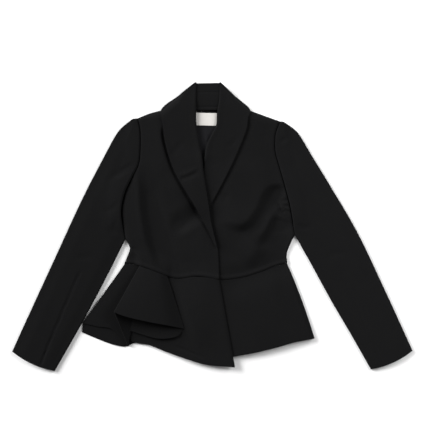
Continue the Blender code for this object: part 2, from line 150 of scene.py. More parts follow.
# Seam and edge lines of the body
SHOULDER_L = [Spot(-176, 255), Spot(-147, 267), Spot(-119, 274)]
SHOULDER_R = [Spot(159, 248), Spot(123, 261), Spot(87, 274)]
ARMHOLE_L = [Spot(-176, 255), Spot(-170, 225), Spot(-170, 179), Spot(-174, 147), Spot(-188, 119),
             Spot(-206, 80), Spot(-214, 40), Spot(-211, 5), Spot(-204, -28)]
ARMHOLE_R = [Spot(159, 248), Spot(149, 221), Spot(147, 199), Spot(148, 176), Spot(154, 153),
             Spot(171, 95), Spot(184, 43), Spot(193, -18)]
SIDE_L = [Spot(-204, -28), Spot(-194, -44), Spot(-194, -56), Spot(-206, -86)]
SIDE_R = [Spot(193, -18), Spot(183, -38), Spot(174, -62), Spot(175, -84)]
WAIST = [Spot(-206, -86), Spot(-182, -87), Spot(-137, -102), Spot(-85, -120), Spot(-34, -115),
         Spot(16, -122), Spot(42, -122), Spot(77, -116), Spot(117, -103), Spot(147, -91), Spot(175, -84)]
ROLL_L = [Spot(-38, 274), Spot(-37, 240), Spot(-30, 196), Spot(-24, 165), Spot(-19, 118), Spot(-8, 47)]
FRONT_EDGE_L = [Spot(-8, 47), Spot(-3, 12), Spot(4, -18), Spot(13, -54), Spot(16, -122)]
ROLL_R = [Spot(12, 274), Spot(10, 243), Spot(1, 222), Spot(-12, 196), Spot(-19, 158), Spot(-27, 70),
          Spot(-30, 22)]
FRONT_EDGE_R = [Spot(-30, 22), Spot(-32, -50), Spot(-29, -116)]
CENTRE_BACK_X = -10.0
NECK_Y = 274.0
PEPLUM_FOOT_L = Spot(-306, -247)
PEPLUM_FOOT_R = Spot(240, -261)
FRONT_FOOT_L = Spot(53, -328)
UPPER_EDGE = [Spot(-190, 250), Spot(-118, 274), Spot(-80, 305), Spot(-38, 378), Spot(18, 378),
              Spot(50, 309), Spot(87, 274), Spot(171, 245)]

# Lapels and collar
LAPEL_OUT_L = [Spot(-41, 339), Spot(-79, 309), Spot(-119, 277), Spot(-116, 240), Spot(-109, 193),
               Spot(-88, 130), Spot(-45, 57), Spot(-16, 5), Spot(7, -45)]
LAPEL_IN_L = [Spot(-37, 339), Spot(-38, 299), Spot(-38, 274)]
LAPEL_TIP_L = [Spot(-8, 47), Spot(-3, 12), Spot(4, -18), Spot(10, -45)]
LAPEL_OUT_R = [Spot(20, 339), Spot(53, 308), Spot(88, 277), Spot(84, 257), Spot(77, 221),
               Spot(44, 144), Spot(2, 64), Spot(-26, 24)]
LAPEL_IN_R = [Spot(17, 339), Spot(16, 299), Spot(12, 274)]
FALL_TOP_L = Spot(-38, 338)
FALL_TOP_R = Spot(18, 339)
FALL_KNEE_L = Spot(-76, 307)
FALL_KNEE_R = Spot(53, 307)
FALL_TUCK = 2.0
STAND_TOP = Spot(-10, 337)
STAND_TOP_HALF = 31.0
STAND_FOOT_HALF = 37.0
STAND_LIFT = 6.4
STAND_BULGE = 0.7
STAND_SEAMS = (316.0, 282.0)
STAND_SEAM_DEPTH = 0.7
STAND_SEAM_REACH = 1.8

# Neck lining and label
NECK_LIFT = 4.0
LINING_TOP_HALF = 38.0
LINING_FOOT = Spot(-19, 118)
LINING_FOOT_HALF = 9.0
LINING_SPAN = Span(140, 40, NECK_Y, 16)
PLEAT = Spot(-12, 200)
PLEAT_HEIGHT = 0.9
PLEAT_REACH = 4.0
PLEAT_SLANT = 0.05
PLEAT_TOP = 238.0
PLEAT_SOFT = 20.0
LABEL_WIDTH = 51.0
LABEL_HEIGHT = 29.5
LABEL_MIDDLE = Spot(-15, 253.0)
LABEL_TILT = math.radians(-1.5)
LABEL_WAVE = 0.25
LABEL_WAVE_LENGTH = 9.0

# Sleeves: the folded outer edge and the underarm edge
SLEEVE_OUT_L = [Spot(-187, 254), Spot(-209, 237), Spot(-226, 217), Spot(-254, 166), Spot(-307, 63),
                Spot(-373, -80), Spot(-437, -219), Spot(-470, -292)]
UNDERARM_L = [Spot(-204, -28), Spot(-225, -71), Spot(-256, -132), Spot(-301, -217), Spot(-370, -338)]
SLEEVE_OUT_R = [Spot(168, 247), Spot(191, 231), Spot(206, 214), Spot(236, 164), Spot(275, 100),
                Spot(342, -15), Spot(409, -156), Spot(470, -290)]
UNDERARM_R = [Spot(193, -18), Spot(232, -87), Spot(278, -171), Spot(330, -260), Spot(372, -334)]
CUFF_BOW = 6.0

# Peplum hems and sides
BACK_HEM = [Spot(-306, -247), Spot(-258, -267), Spot(-225, -278), Spot(-200, -280), Spot(-170, -270),
            Spot(-50, -271), Spot(60, -270), Spot(150, -264), Spot(236, -254)]
RIGHT_HEM = [Spot(8, -312), Spot(53, -303), Spot(100, -294), Spot(150, -282), Spot(192, -270),
             Spot(240, -261)]
RIGHT_PEPLUM_BOW = 3.0
BACK_SIDE_KNEE = Spot(-304, -227)

# Soft hills that raise the fronts
HILLS = [
    Hill(84, 96, 34, 26, 50, 1.6),
    Hill(130, -190, 10, 60, 40, 0.8),
    Hill(-46, -36, 14, 16, 40, 1.2),
    Hill(-66, 62, 16, 26, 52, 2.4),
    Hill(96, -2, 34, 8, 66, 7.0),
]

# Faint waves of cloth that has been handled, in radians for each millimetre
RIPPLES = [
    Ripple(0.071, 0.031, 0.4), Ripple(-0.043, 0.066, 1.7), Ripple(0.021, -0.058, 2.9),
    Ripple(0.109, 0.083, 4.1), Ripple(-0.094, 0.027, 5.2), Ripple(0.037, 0.121, 0.9),
]

# Underside of the left front where it meets the folded peplum
LEFT_WAIST = [
    Level(-206, 1.9), Level(-182, 2.3), Level(-168, 8.4), Level(-140, 9.8), Level(-120, 8.8),
    Level(-108, 6.6), Level(-97, 3.0), Level(-75, 3.0), Level(-45, 5.4), Level(-15, 9.0), Level(16, 11.4),
]

# Folds of the fronts: a raised fold has a positive height, a sunk one a negative height.
# Left and right are the widths on each side of the path, as it is travelled.
MAIN_FOLD = [(-163, 156), (-154, 100), (-149, 50), (-141, 0), (-127, -55), (-100, -116), (-76, -170)]
LEFT_FRONT_WRINKLES = [
    Wrinkle(-5.4, 44, 24, 0.26, 0.02, MAIN_FOLD),
    Wrinkle(-4.8, 150, 26, 0.45, 0.02, MAIN_FOLD),
    Wrinkle(-3.4, 118, 36, 0.45, 0.02,
            [(-138, 140), (-130, 100), (-124, 50), (-116, 0), (-104, -55), (-86, -110), (-66, -170)]),
    Wrinkle(0.8, 9, 16, 0.14, 0.3, [(-177, 130), (-173, 100), (-170, 50), (-163, 0), (-152, -50)]),
    Wrinkle(-3.0, 14, 24, 0.5, 0.3, [(-80, 112), (-54, 64), (-36, 32), (-20, 8)]),
    Wrinkle(-5.5, 40, 26, 0.35, 0.24, [(-104, -6), (-68, 9), (-34, 32), (-14, 48)]),
]
FRONT_WRINKLES = [
    Wrinkle(-9.6, 78, 24, 0.12, 0.32,
            [(176, 76), (148, 80), (134, 66), (124, 42), (110, 19), (92, -2), (68, -14), (32, -6), (8, 4)]),
    Wrinkle(1.3, 12, 14, 0.15, 0.4, [(164, 58), (148, 40), (134, 14), (114, -12), (80, -28)]),
    Wrinkle(-8.6, 60, 24, 0.2, 0.40, [(160, 28), (151, 6), (138, -21), (122, -42), (98, -58)]),
    Wrinkle(4.4, 34, 84, 0.4, 0.4, [(112, -30), (92, -58), (66, -86)]),
    Wrinkle(1.0, 16, 20, 0.3, 0.4, [(-76, -18), (-54, -8), (-32, 8)]),
    Wrinkle(-2.6, 5, 6, 0.1, 0.6, [(180, 66), (168, 62), (156, 60)]),
    Wrinkle(-2.6, 5, 6, 0.1, 0.6, [(184, 50), (172, 50), (160, 54)]),
    Wrinkle(-2.2, 5, 6, 0.1, 0.6, [(186, 34), (176, 38), (166, 44)]),
    Wrinkle(-3.0, 6, 8, 0.1, 0.6, [(-196, -46), (-184, -52), (-172, -66)]),
    Wrinkle(-2.6, 6, 6, 0.1, 0.6, [(-198, -64), (-186, -70), (-176, -80)]),
    Wrinkle(-1.2, 14, 18, 0.4, 0.4, [(34, 86), (30, 66), (24, 52)]),
    Wrinkle(-4.4, 8, 10, 0.08, 0.3, LAPEL_OUT_L[3:]),
    Wrinkle(-1.0, 16, 10, 0.08, 0.1, LAPEL_OUT_R[3:]),
]
LEAST_FADE = 0.01

# How the fronts are drawn in, joined and pressed at the waist seam
WAIST_PINCH = 5.2
WAIST_PINCH_REACH = 34.0
WAIST_PINCH_START = 10.0
WAIST_PINCH_SOFT = 60.0
WAIST_BLEND = 50.0
SEAM_RIDGE_ABOVE = 4.4
SEAM_RIDGE_REACH = 3.8

# Folds of the lapels
LAPEL_WRINKLES = [
    Wrinkle(-1.7, 6, 10, 0.2, 0.4, [(-80, 111), (-56, 119), (-26, 134)]),
    Wrinkle(0.9, 7, 8, 0.2, 0.4, [(-82, 120), (-58, 127), (-28, 142)]),
    Wrinkle(-0.8, 12, 14, 0.3, 0.4, [(-102, 163), (-84, 182), (-64, 208)]),
    Wrinkle(-0.6, 10, 12, 0.4, 0.4, [(60, 212), (48, 196), (30, 184)]),
]

# Folds of the sleeves
SLEEVE_WRINKLES = [
    Wrinkle(-1.7, 10, 16, 0.1, 0.6, [(-178, 140), (-201, 134), (-229, 119), (-256, 101)]),
    Wrinkle(-1.5, 18, 18, 0.3, 0.4, [(-214, 12), (-228, -2), (-240, -22)]),
    Wrinkle(-1.0, 9, 12, 0.3, 0.5, [(-212, 58), (-232, 44), (-262, 34)]),
    Wrinkle(-1.3, 6, 8, 0.1, 0.5, [(149, 198), (164, 204), (182, 213)]),
    Wrinkle(-1.0, 10, 14, 0.3, 0.5, [(196, 10), (214, 0), (240, 2)]),
    Wrinkle(-0.8, 12, 14, 0.4, 0.4, [(262, -70), (290, -62), (322, -64)]),
    Wrinkle(-0.8, 12, 14, 0.4, 0.4, [(-270, -74), (-296, -70), (-326, -74)]),
]
SLEEVE_SEAMS = [
    Wrinkle(-1.9, 2.8, 3.8, 0.06, 0.0, [(-305, -98), (-330, -150), (-357, -213), (-384, -276), (-402, -322)]),
    Wrinkle(-0.6, 2.6, 3.4, 0.06, 0.0, [(300, -98), (322, -146), (350, -206), (378, -268), (399, -318)]),
]

# Folds of the left peplum, in order from the side seam to the front edge
LEFT_FOLDS = [
    Fold(-205.5, -305, -225, 2.7, 2.7, False),
    Fold(-194, -270, -233, 3.0, 3.2, False),
    Fold(-182, -238, -238, 3.0, 3.2, False),
    Fold(-172, -214, -257, 2.9, 3.0, False),
    Fold(-163, -199, -276, 2.8, 2.9, True),
    Fold(-163, -199, -276, 5.6, 6.6, False),
    Fold(-166, -214, -236, 6.2, 14.4, False),
    Fold(-169, -228, -198, 8.0, 25.4, True),
    Fold(-169, -228, -198, 10.4, 27.8, False),
    Fold(-156, -200, -208, 11.6, 27.8, False),
    Fold(-140, -150, -220, 11.8, 25.4, False),
    Fold(-122, -104, -229, 10.8, 20.4, False),
    Fold(-107, -67, -238, 6.4, 7.2, True),
    Fold(-107, -67, -238, 4.4, 5.2, False),
    Fold(-110, -84, -256, 5.6, 8.8, False),
    Fold(-112, -126, -261, 5.6, 9.0, False),
    Fold(-114, -172, -249, 5.6, 7.0, False),
    Fold(-116, -201, -240, 5.6, 6.4, True),
    Fold(-116, -201, -240, 2.8, 3.4, False),
    Fold(-110, -190, -267, 2.8, 3.0, False),
    Fold(-102, -170, -273, 2.9, 3.0, False),
    Fold(-92, -150, -276, 3.2, 3.2, False),
    Fold(-75, -112, -291, 3.7, 3.8, False),
    Fold(-45, -70, -306, 6.2, 5.8, False),
    Fold(-15, -15, -322, 9.8, 9.4, False),
    Fold(16, 53, -328, 12.2, 12.2, False),
]

# The flute's top layer, how it puffs up, and how the front panel rises beside it and rounds at its edge
FLUTE_TOP_LAYER = 2
FLUTE_PUFF = 1.6
FLUTE_PUFF_DOWN_POWER = 0.9
FLUTE_PUFF_ACROSS_POWER = 0.8
FLUTE_SIDE_RISE = 5.0
FLUTE_SIDE_REACH = 24.0
FLUTE_SIDE_SOFT = 80.0
FLUTE_SIDE_SPAN = Span(0.0, 0.7, 1.6, 0.7)
FRONT_ROUND = 1.8
FRONT_ROUND_REACH = 12.0

# Turned hem that shows as a line above the left peplum's lower edge
PEPLUM_WRINKLES = [
    Wrinkle(-1.5, 3.0, 4.0, 0.25, 0.3, [(-96, -276), (-72, -284), (-40, -298), (-14, -306)]),
]

# Steps of the grids and lines: rows run down a piece and columns across it
BACK_ROWS_ARM = 34
BACK_ROWS_SIDE = 10
BACK_COLUMNS = 24
BACK_PEPLUM_ROWS = 18
BACK_KNEE_ROWS = 2
FRONT_ROWS_ARM = 84
FRONT_ROWS_SIDE = 26
FRONT_COLUMNS = 66
FRONT_ROLL_ROWS_L = 64
FRONT_ROLL_ROWS_R = 70
RIGHT_PEPLUM_ROWS = 56
RIGHT_PEPLUM_COLUMNS = 60
FLUTE_ROWS = 64
FOLD_STEPS = 9
TURN_STEPS = 10
SLEEVE_ROWS = 166
SLEEVE_ROWS_ARM = 70
SLEEVE_COLUMNS = 34
SLEEVE_TURN_STEPS = 8
LAPEL_ROWS = 120
LAPEL_COLUMNS = 34
LAPEL_NECK_ROWS_L = 20
LAPEL_ROLL_ROWS_L = 68
LAPEL_NECK_ROWS_R = 24
COLLAR_COLUMNS = 24
FALL_ROWS = 16
STAND_ROWS = 44
LINING_ROWS = 40
LABEL_ROWS = 16
CURVE_STEPS = 24
WRINKLE_STEPS = 200
ARMHOLE_STEPS = 60
SIDE_STEPS = 20
OPENING_STEPS = 30
PEPLUM_STEPS = 8
WAIST_STEPS = 120

# Layer number of the columns that turn from one layer of the flute to the next
TURNING = -1

# Spacing of the materials' patterns, mm, and the radians that a wave texture of scale 1 turns in one unit
BLOOM_SPACING = 38.0
FLOAT_WIDTH = 0.9
FLOAT_LENGTH = 9.0
RIB_SPACING = 2.513
CLOUD_SPACING = 6.0
WAVE_TURN = 20.0

# Studio: softboxes with place and size in metres and power in watts, all aimed at the middle of the floor
SOFTBOXES = [
    Softbox("key_softbox", (-9.2, 5.4, 4.1), 6.5, 2990.0),
    Softbox("side_softbox", (1.85, 1.2, 1.1), 1.6, 41.0),
    Softbox("high_softbox", (1.0, 0.2, 0.9), 0.5, 5.0),
]
FILL_STRENGTH = 0.208
FLOOR_SIZE = 9.0
FLOOR_DROP = 0.0004

# Photograph's framing: the view's width on the floor and its middle, m
VIEW_WIDTH = 1.0152
VIEW_MIDDLE = (0.0086, 0.0263)
CAMERA_HEIGHT = 2.6
CAMERA_REACH = 50.0
SENSOR = 36.0


def linear(hex_colour):
    """Turns an sRGB hex colour into linear values."""
    parts = [int(hex_colour[i:i + 2], 16) / 255 for i in (0, 2, 4)]
    return tuple(c / 12.92 if c <= 0.04045 else ((c + 0.055) / 1.055) ** 2.4 for c in parts)


class BlazerSizes(bpy.types.PropertyGroup):
    """Sizes of the cloth that a user would change."""
    hem_round: bpy.props.FloatProperty(
        name="Edge rounding", description="Radius of the turned cloth edges", default=0.7 * MM, unit="LENGTH")
    seam_ridge: bpy.props.FloatProperty(
        name="Waist ridge", description="Height of the seam allowance pressed up at the waist",
        default=1.9 * MM, unit="LENGTH")
    ripple: bpy.props.FloatProperty(
        name="Ripple", description="Height of the faint unevenness of the laid cloth", default=0.22 * MM,
        unit="LENGTH")
    crepe_grain: bpy.props.FloatProperty(
        name="Crepe grain", description="Spacing of the pebbled crepe grain", default=1.1 * MM, unit="LENGTH")


class BlazerColours(bpy.types.PropertyGroup):
    """Colours of the cloth, lining, label and floor."""
    wool: bpy.props.FloatVectorProperty(
        name="Wool", description="Black of the wool crepe", subtype="COLOR", default=linear("0f0f0f"))
    wool_lift: bpy.props.FloatVectorProperty(
        name="Wool highlights", description="Lighter threads of the crepe", subtype="COLOR",
        default=linear("151516"))
    lining: bpy.props.FloatVectorProperty(
        name="Lining", description="Black of the satin lining", subtype="COLOR", default=linear("161618"))
    label: bpy.props.FloatVectorProperty(
        name="Label", description="Off-white of the woven label", subtype="COLOR", default=linear("cac7c3"))
    floor: bpy.props.FloatVectorProperty(
        name="Floor", description="White of the floor", subtype="COLOR", default=linear("f4f4f4"))


def ease(amount):
    """Goes smoothly from 0 to 1 while the amount goes from 0 to 1."""
    amount = np.clip(amount, 0.0, 1.0)
    return amount * amount * (3.0 - 2.0 * amount)


def within(value, span):
    """Goes smoothly from 0 up to 1 and back to 0 over a span."""
    return ease((value - span.low) / span.low_soft) * ease((span.high - value) / span.high_soft)


def bell(offset, reach):
    """Gives a bell curve, which is 1 where the offset is 0."""
    return np.exp(-(offset / reach) ** 2)


def along(table, x):
    """Gives the second column of a table at x, going straight between its rows."""
    return np.interp(x, *np.transpose(table))


def line(spots, steps):
    """Gives steps + 1 points, evenly spaced, on a smooth line through a table's spots."""
    spots = np.array(spots, float)
    ends = np.vstack([2 * spots[0] - spots[1], spots, 2 * spots[-1] - spots[-2]])
    dense = []
    for i in range(len(spots) - 1):
        before, start, end, after = ends[i:i + 4]
        for t in np.linspace(0, 1, CURVE_STEPS, endpoint=False):
            dense.append(0.5 * (2 * start + (end - before) * t
                                + (2 * before - 5 * start + 4 * end - after) * t ** 2
                                + (3 * start - before - 3 * end + after) * t ** 3))
    dense = np.array(dense + [spots[-1]])
    travel = np.concatenate([[0], np.cumsum(np.linalg.norm(np.diff(dense, axis=0), axis=1))])
    stops = np.linspace(0, travel[-1], steps + 1)
    return np.column_stack([np.interp(stops, travel, dense[:, k]) for k in range(dense.shape[1])])


def chain(*lines):
    """Joins lines end to end, leaving out each repeated point."""
    return np.vstack([lines[0]] + [part[1:] for part in lines[1:]])


def straight(start, end, steps):
    """Gives steps + 1 points on the straight line between two spots."""
    return np.linspace(np.array(start, float), np.array(end, float), steps + 1)


def bowed(start, end, bow, steps):
    """Gives steps + 1 points on a line bowed out to the left of its travel by bow."""
    points = straight(start, end, steps)
    heading = (points[-1] - points[0]) / np.linalg.norm(points[-1] - points[0])
    share = np.linspace(0, 1, steps + 1)
    return points + np.outer(bow * 4 * share * (1 - share), np.array([-heading[1], heading[0]]))


def filled(top, bottom, left, right):
    """Fills four edge lines with a grid of plan points, rows from top to bottom."""
    v = np.linspace(0, 1, len(left))[:, None, None]
    u = np.linspace(0, 1, len(top))[None, :, None]
    across = (1 - u) * left[:, None, :] + u * right[:, None, :]
    down = (1 - v) * top[None, :, :] + v * bottom[None, :, :]
    corners = ((1 - u) * (1 - v) * top[0] + u * (1 - v) * top[-1]
               + (1 - u) * v * bottom[0] + u * v * bottom[-1])
    return across + down - corners


def at_height(edge, y):
    """Gives the x of an edge line at heights y; the line runs downwards."""
    return np.interp(-y, -edge[:, 1], edge[:, 0])


LEFT_SIDE = chain(line(ARMHOLE_L, ARMHOLE_STEPS), line(SIDE_L, SIDE_STEPS),
                  straight(SIDE_L[-1], PEPLUM_FOOT_L, PEPLUM_STEPS))
RIGHT_SIDE = chain(line(ARMHOLE_R, ARMHOLE_STEPS), line(SIDE_R, SIDE_STEPS),
                   straight(SIDE_R[-1], PEPLUM_FOOT_R, PEPLUM_STEPS))
LEFT_OPENING = chain(line(ROLL_L, OPENING_STEPS), line(FRONT_EDGE_L, OPENING_STEPS),
                     straight(FRONT_EDGE_L[-1], FRONT_FOOT_L, PEPLUM_STEPS))
WAIST_LINE = line(WAIST, WAIST_STEPS)


def waist_y(x):
    """Gives the height of the waist seam at x."""
    return along(WAIST_LINE, x)


def wrinkled(wrinkles, x, y):
    """Gives how far a set of folds raises or sinks the cloth at each plan point."""
    total = np.zeros_like(x)
    for wrinkle in wrinkles:
        path = line(wrinkle.path, WRINKLE_STEPS)
        heading = np.gradient(path, axis=0)
        heading /= np.linalg.norm(heading, axis=1)[:, None]
        reach = max(wrinkle.left, wrinkle.right)
        near = ((x > path[:, 0].min() - reach) & (x < path[:, 0].max() + reach)
                & (y > path[:, 1].min() - reach) & (y < path[:, 1].max() + reach))
        if not near.any():
            continue
        px, py = x[near], y[near]
        away = (px[:, None] - path[:, 0]) ** 2 + (py[:, None] - path[:, 1]) ** 2
        nearest = away.argmin(axis=1)
        offset_x = px - path[nearest, 0]
        offset_y = py - path[nearest, 1]
        side = heading[nearest, 0] * offset_y - heading[nearest, 1] * offset_x
        distance = np.sqrt(away[np.arange(len(px)), nearest])
        width = np.where(side > 0, wrinkle.left, wrinkle.right)
        share = nearest / (len(path) - 1)
        fades = Span(0, max(wrinkle.fade_in, LEAST_FADE), 1, max(wrinkle.fade_out, LEAST_FADE))
        total[near] += wrinkle.height * within(share, fades) * ease(1 - distance / width)
    return total


def rippled(x, y):
    """Gives the faint unevenness of cloth that has been handled and laid down, from -1 to 1."""
    return sum(np.sin(wave.turn_x * x + wave.turn_y * y + wave.start) for wave in RIPPLES) / len(RIPPLES)


def rolled(distance, reach, rise):
    """Gives the rise of a rounded edge at distances in from it."""
    share = 1 - np.clip(distance / reach, 0, 1)
    return rise * np.sqrt(1 - share * share)


def front_height(x, y):
    """Gives the underside height of the fronts over the floor, mm."""
    sizes = bpy.context.scene.blazer_sizes
    from_left = x - at_height(LEFT_SIDE, y)
    from_right = at_height(RIGHT_SIDE, y) - x
    from_top = along(UPPER_EDGE, x) - y
    inside = ease(from_left / SIDE_SOFT) * ease(from_right / SIDE_SOFT) * ease(from_top / EDGE_SOFT)
    loft = np.full_like(x, FRONT_LOFT)
    for hill in HILLS:
        across = ease((hill.half_x + hill.soft - np.abs(x - hill.x)) / hill.soft)
        down = ease((hill.half_y + hill.soft - np.abs(y - hill.y)) / hill.soft)
        loft = loft + hill.height * across * down
    loft = loft + rippled(x, y) * sizes.ripple / MM
    nearest = np.minimum(np.minimum(from_left, from_right), from_top * UPPER_EDGE_SLANT)
    tuck = ARMHOLE_TUCK * within(y, ARMHOLE_TUCK_SPAN) * ease(1 - from_left / ARMHOLE_TUCK_REACH)
    roll = rolled(nearest, EDGE_ROLL_REACH, EDGE_ROLL) - tuck
    pinched = ease((x - WAIST_PINCH_START) / WAIST_PINCH_SOFT)
    pinch = WAIST_PINCH * bell(y - waist_y(x), WAIST_PINCH_REACH) * pinched
    return EDGE_HEIGHT + inside * loft + roll - pinch * ease(nearest / EDGE_ROLL_REACH)


def creased(wrinkles, x, y):
    """Gives a front's folds, faded out at the armholes and sides."""
    from_left = x - at_height(LEFT_SIDE, y)
    from_right = at_height(RIGHT_SIDE, y) - x
    return wrinkled(wrinkles, x, y) * ease(from_left / CREASE_FADE) * ease(from_right / CREASE_FADE)


def left_front_height(x, y):
    """Gives the underside of the left front, which rises near its edge over the right lapel's foot."""
    from_edge = at_height(LEFT_OPENING, y) - x
    lift = ease((OVERLAP_REACH - from_edge) / OVERLAP_SOFT) * ease((OVERLAP_TOP - y) / OVERLAP_FADE)
    upper = OVERLAP_LEAST + (1 - OVERLAP_LEAST) * ease((y - OVERLAP_KNEE) / OVERLAP_FADE)
    return front_height(x, y) + OVERLAP_LIFT * lift * upper


def right_front_height(x, y):
    """Gives the underside of the right front, which dips to pass under the left one."""
    edge = at_height(LEFT_OPENING, y)
    lapped = ease((UNDERLAP_TOP - y) / UNDERLAP_TOP_SOFT)
    under = UNDERLAP_DROP * ease((edge + UNDERLAP_SOFT - x) / UNDERLAP_SOFT)
    hidden = UNDERLAP_HIDDEN_DROP * ease((edge - x) / UNDERLAP_HIDDEN_SOFT)
    return front_height(x, y) - (under + hidden) * lapped


def kept_up(height):
    """Keeps a front's underside clear of the back that it lies on."""
    lowest = EDGE_HEIGHT - LOWEST_DROP
    start = lowest + LOWEST_SOFT
    return np.where(height > start, height, lowest + LOWEST_SOFT * np.exp((height - start) / LOWEST_SOFT))


def over_collar(y):
    """Gives how far a lapel comes down past the neck seam, where no front lies under it."""
    return (WALL + LAYER_GAP) * ease((y - NECK_Y - COLLAR_STEP_START) / COLLAR_STEP_SOFT)


def begun(name, roughness, ior):
    """Starts a material and gives it with its shader."""
    material = bpy.data.materials.new(name)
    material.use_nodes = True
    shader = material.node_tree.nodes["Principled BSDF"]
    shader.inputs["Roughness"].default_value = roughness
    shader.inputs["IOR"].default_value = ior
    return material, shader


def added(tree, kind, settings=None, links=None):
    """Adds a node with its settings and links."""
    node = tree.nodes.new(kind)
    for name, value in (settings or {}).items():
        node.inputs[name].default_value = value
    for name, source in (links or {}).items():
        tree.links.new(source, node.inputs[name])
    return node


def wool_crepe():
    """Wool crepe, woven from hard-twisted yarn and pressed: a matte black with a fine pebbled grain.

    The twist breaks up the light, so it has no gloss, only a faint bloom of loose fibre at low angles.
    """
    sizes = bpy.context.scene.blazer_sizes
    colours = bpy.context.scene.blazer_colours
    material, shader = begun("wool_crepe_woven", roughness=0.95, ior=1.5)
    shader.inputs["Specular IOR Level"].default_value = 0.04
    shader.inputs["Sheen Weight"].default_value = 0.02
    shader.inputs["Sheen Roughness"].default_value = 0.45
    tree = material.node_tree
    place = {"Vector": added(tree, "ShaderNodeTexCoord").outputs["Object"]}
    # The real grain is about 0.4 mm; it is drawn coarser so that it shows in the render.
    grain = added(tree, "ShaderNodeTexNoise",
                  {"Scale": 1 / sizes.crepe_grain, "Detail": 3.0, "Roughness": 0.6}, place)
    bloom = added(tree, "ShaderNodeTexNoise",
                  {"Scale": 1 / (BLOOM_SPACING * MM), "Detail": 4.0, "Roughness": 0.6}, place)
    ramp = added(tree, "ShaderNodeValToRGB", {}, {"Fac": grain.outputs["Fac"]})
    ramp.color_ramp.elements[0].position = 0.3
    ramp.color_ramp.elements[0].color = (*colours.wool, 1)
    ramp.color_ramp.elements[1].position = 0.75
    ramp.color_ramp.elements[1].color = (*colours.wool_lift, 1)
    tree.links.new(ramp.outputs["Color"], shader.inputs["Base Color"])
    rough = added(tree, "ShaderNodeMapRange",
                  {"From Min": 0.3, "From Max": 0.7, "To Min": 0.92, "To Max": 1.0},
                  {"Value": bloom.outputs["Fac"]})
    tree.links.new(rough.outputs["Result"], shader.inputs["Roughness"])
    bump = added(tree, "ShaderNodeBump", {"Strength": 0.35, "Distance": 0.2 * MM},
                 {"Height": grain.outputs["Fac"]})
    tree.links.new(bump.outputs["Normal"], shader.inputs["Normal"])
    return material


def lining_satin():
    """Acetate satin lining: long floats of smooth yarn, so it is black with a soft gloss; lighter streaks
    along the floats are painted sheen in its colour.
    """
    colours = bpy.context.scene.blazer_colours
    material, shader = begun("acetate_satin_woven", roughness=0.42, ior=1.47)
    shader.inputs["Specular IOR Level"].default_value = 0.12
    tree = material.node_tree
    place = {"Vector": added(tree, "ShaderNodeTexCoord").outputs["Object"]}
    across = 1 / (FLOAT_WIDTH * MM)
    stretch = added(tree, "ShaderNodeMapping", {"Scale": (across, 1 / (FLOAT_LENGTH * MM), across)}, place)
    floats_and_sheen = added(tree, "ShaderNodeTexNoise", {"Scale": 1.0, "Detail": 2.0},
                   {"Vector": stretch.outputs["Vector"]})
    # Painted sheen: the colour runs lighter in streaks along the floats, standing in for the satin's streaked
    # gloss.
    ramp = added(tree, "ShaderNodeValToRGB", {}, {"Fac": floats_and_sheen.outputs["Fac"]})
    ramp.color_ramp.elements[0].color = (*[0.8 * c for c in colours.lining], 1)
    ramp.color_ramp.elements[1].color = (*[1.3 * c for c in colours.lining], 1)
    tree.links.new(ramp.outputs["Color"], shader.inputs["Base Color"])
    bump = added(tree, "ShaderNodeBump", {"Strength": 0.2, "Distance": 0.1 * MM},
                 {"Height": floats_and_sheen.outputs["Fac"]})
    tree.links.new(bump.outputs["Normal"], shader.inputs["Normal"])
    return material


def label_tape():
    """Woven polyester label tape: off-white, close ribbed, with a slight satin face."""
    colours = bpy.context.scene.blazer_colours
    material, shader = begun("polyester_tape_woven", roughness=0.6, ior=1.5)
    tree = material.node_tree
    place = {"Vector": added(tree, "ShaderNodeTexCoord").outputs["Object"]}
    # The real ribs are about 0.25 mm apart; they are drawn about 2.5 mm apart so that they show.
    rib_scale = 2 * math.pi / (WAVE_TURN * RIB_SPACING * MM)
    ribs = added(tree, "ShaderNodeTexWave", {"Scale": rib_scale, "Distortion": 0.6, "Detail": 1.0}, place)
    ribs.bands_direction = "Y"
    cloud = added(tree, "ShaderNodeTexNoise", {"Scale": 1 / (CLOUD_SPACING * MM), "Detail": 3.0}, place)
    ramp = added(tree, "ShaderNodeValToRGB", {}, {"Fac": cloud.outputs["Fac"]})
    ramp.color_ramp.elements[0].color = (*[0.9 * c for c in colours.label], 1)
    ramp.color_ramp.elements[1].color = (*colours.label, 1)
    tree.links.new(ramp.outputs["Color"], shader.inputs["Base Color"])
    bump = added(tree, "ShaderNodeBump", {"Strength": 0.25, "Distance": 0.1 * MM},
                 {"Height": ribs.outputs["Fac"]})
    tree.links.new(bump.outputs["Normal"], shader.inputs["Normal"])
    return material


made_materials = {}


def shared(cloth):
    """Gives the material of a cloth that several pieces use, and makes it only once."""
    if cloth.__name__ not in made_materials:
        made_materials[cloth.__name__] = cloth()
    return made_materials[cloth.__name__]


def gridded(points):
    """Makes a surface from rows of points in millimetres."""
    rows, columns = points.shape[0] - 1, points.shape[1] - 1
    surface = bmesh.new()
    bmesh.ops.create_grid(surface, x_segments=columns, y_segments=rows, size=0.5)
    for vert in surface.verts:
        i = round((vert.co.x + 0.5) * columns)
        j = round((0.5 - vert.co.y) * rows)
        vert.co = points[j, i] * MM
    return surface


def meshed(name, shape):
    """Turns a shape into an object, which alone is selected and active."""
    mesh = bpy.data.meshes.new(name)
    shape.to_mesh(mesh)
    shape.free()
    piece = bpy.data.objects.new(name, mesh)
    bpy.context.scene.collection.objects.link(piece)
    bpy.ops.object.select_all(action="DESELECT")
    bpy.context.view_layer.objects.active = piece
    piece.select_set(True)
    return piece


def walled(name, shape, thickness, offset, even):
    """Gives a surface its wall with a modifier, and gives back the shape."""
    form = meshed(name + "_form", shape)
    wall = form.modifiers.new("wall", "SOLIDIFY")
    wall.thickness = thickness * MM
    wall.offset = offset
    wall.use_even_offset = even
    bpy.ops.object.modifier_apply(modifier="wall")
    thick = bmesh.new()
    thick.from_mesh(form.data)
    bpy.data.objects.remove(form, do_unlink=True)
    return thick


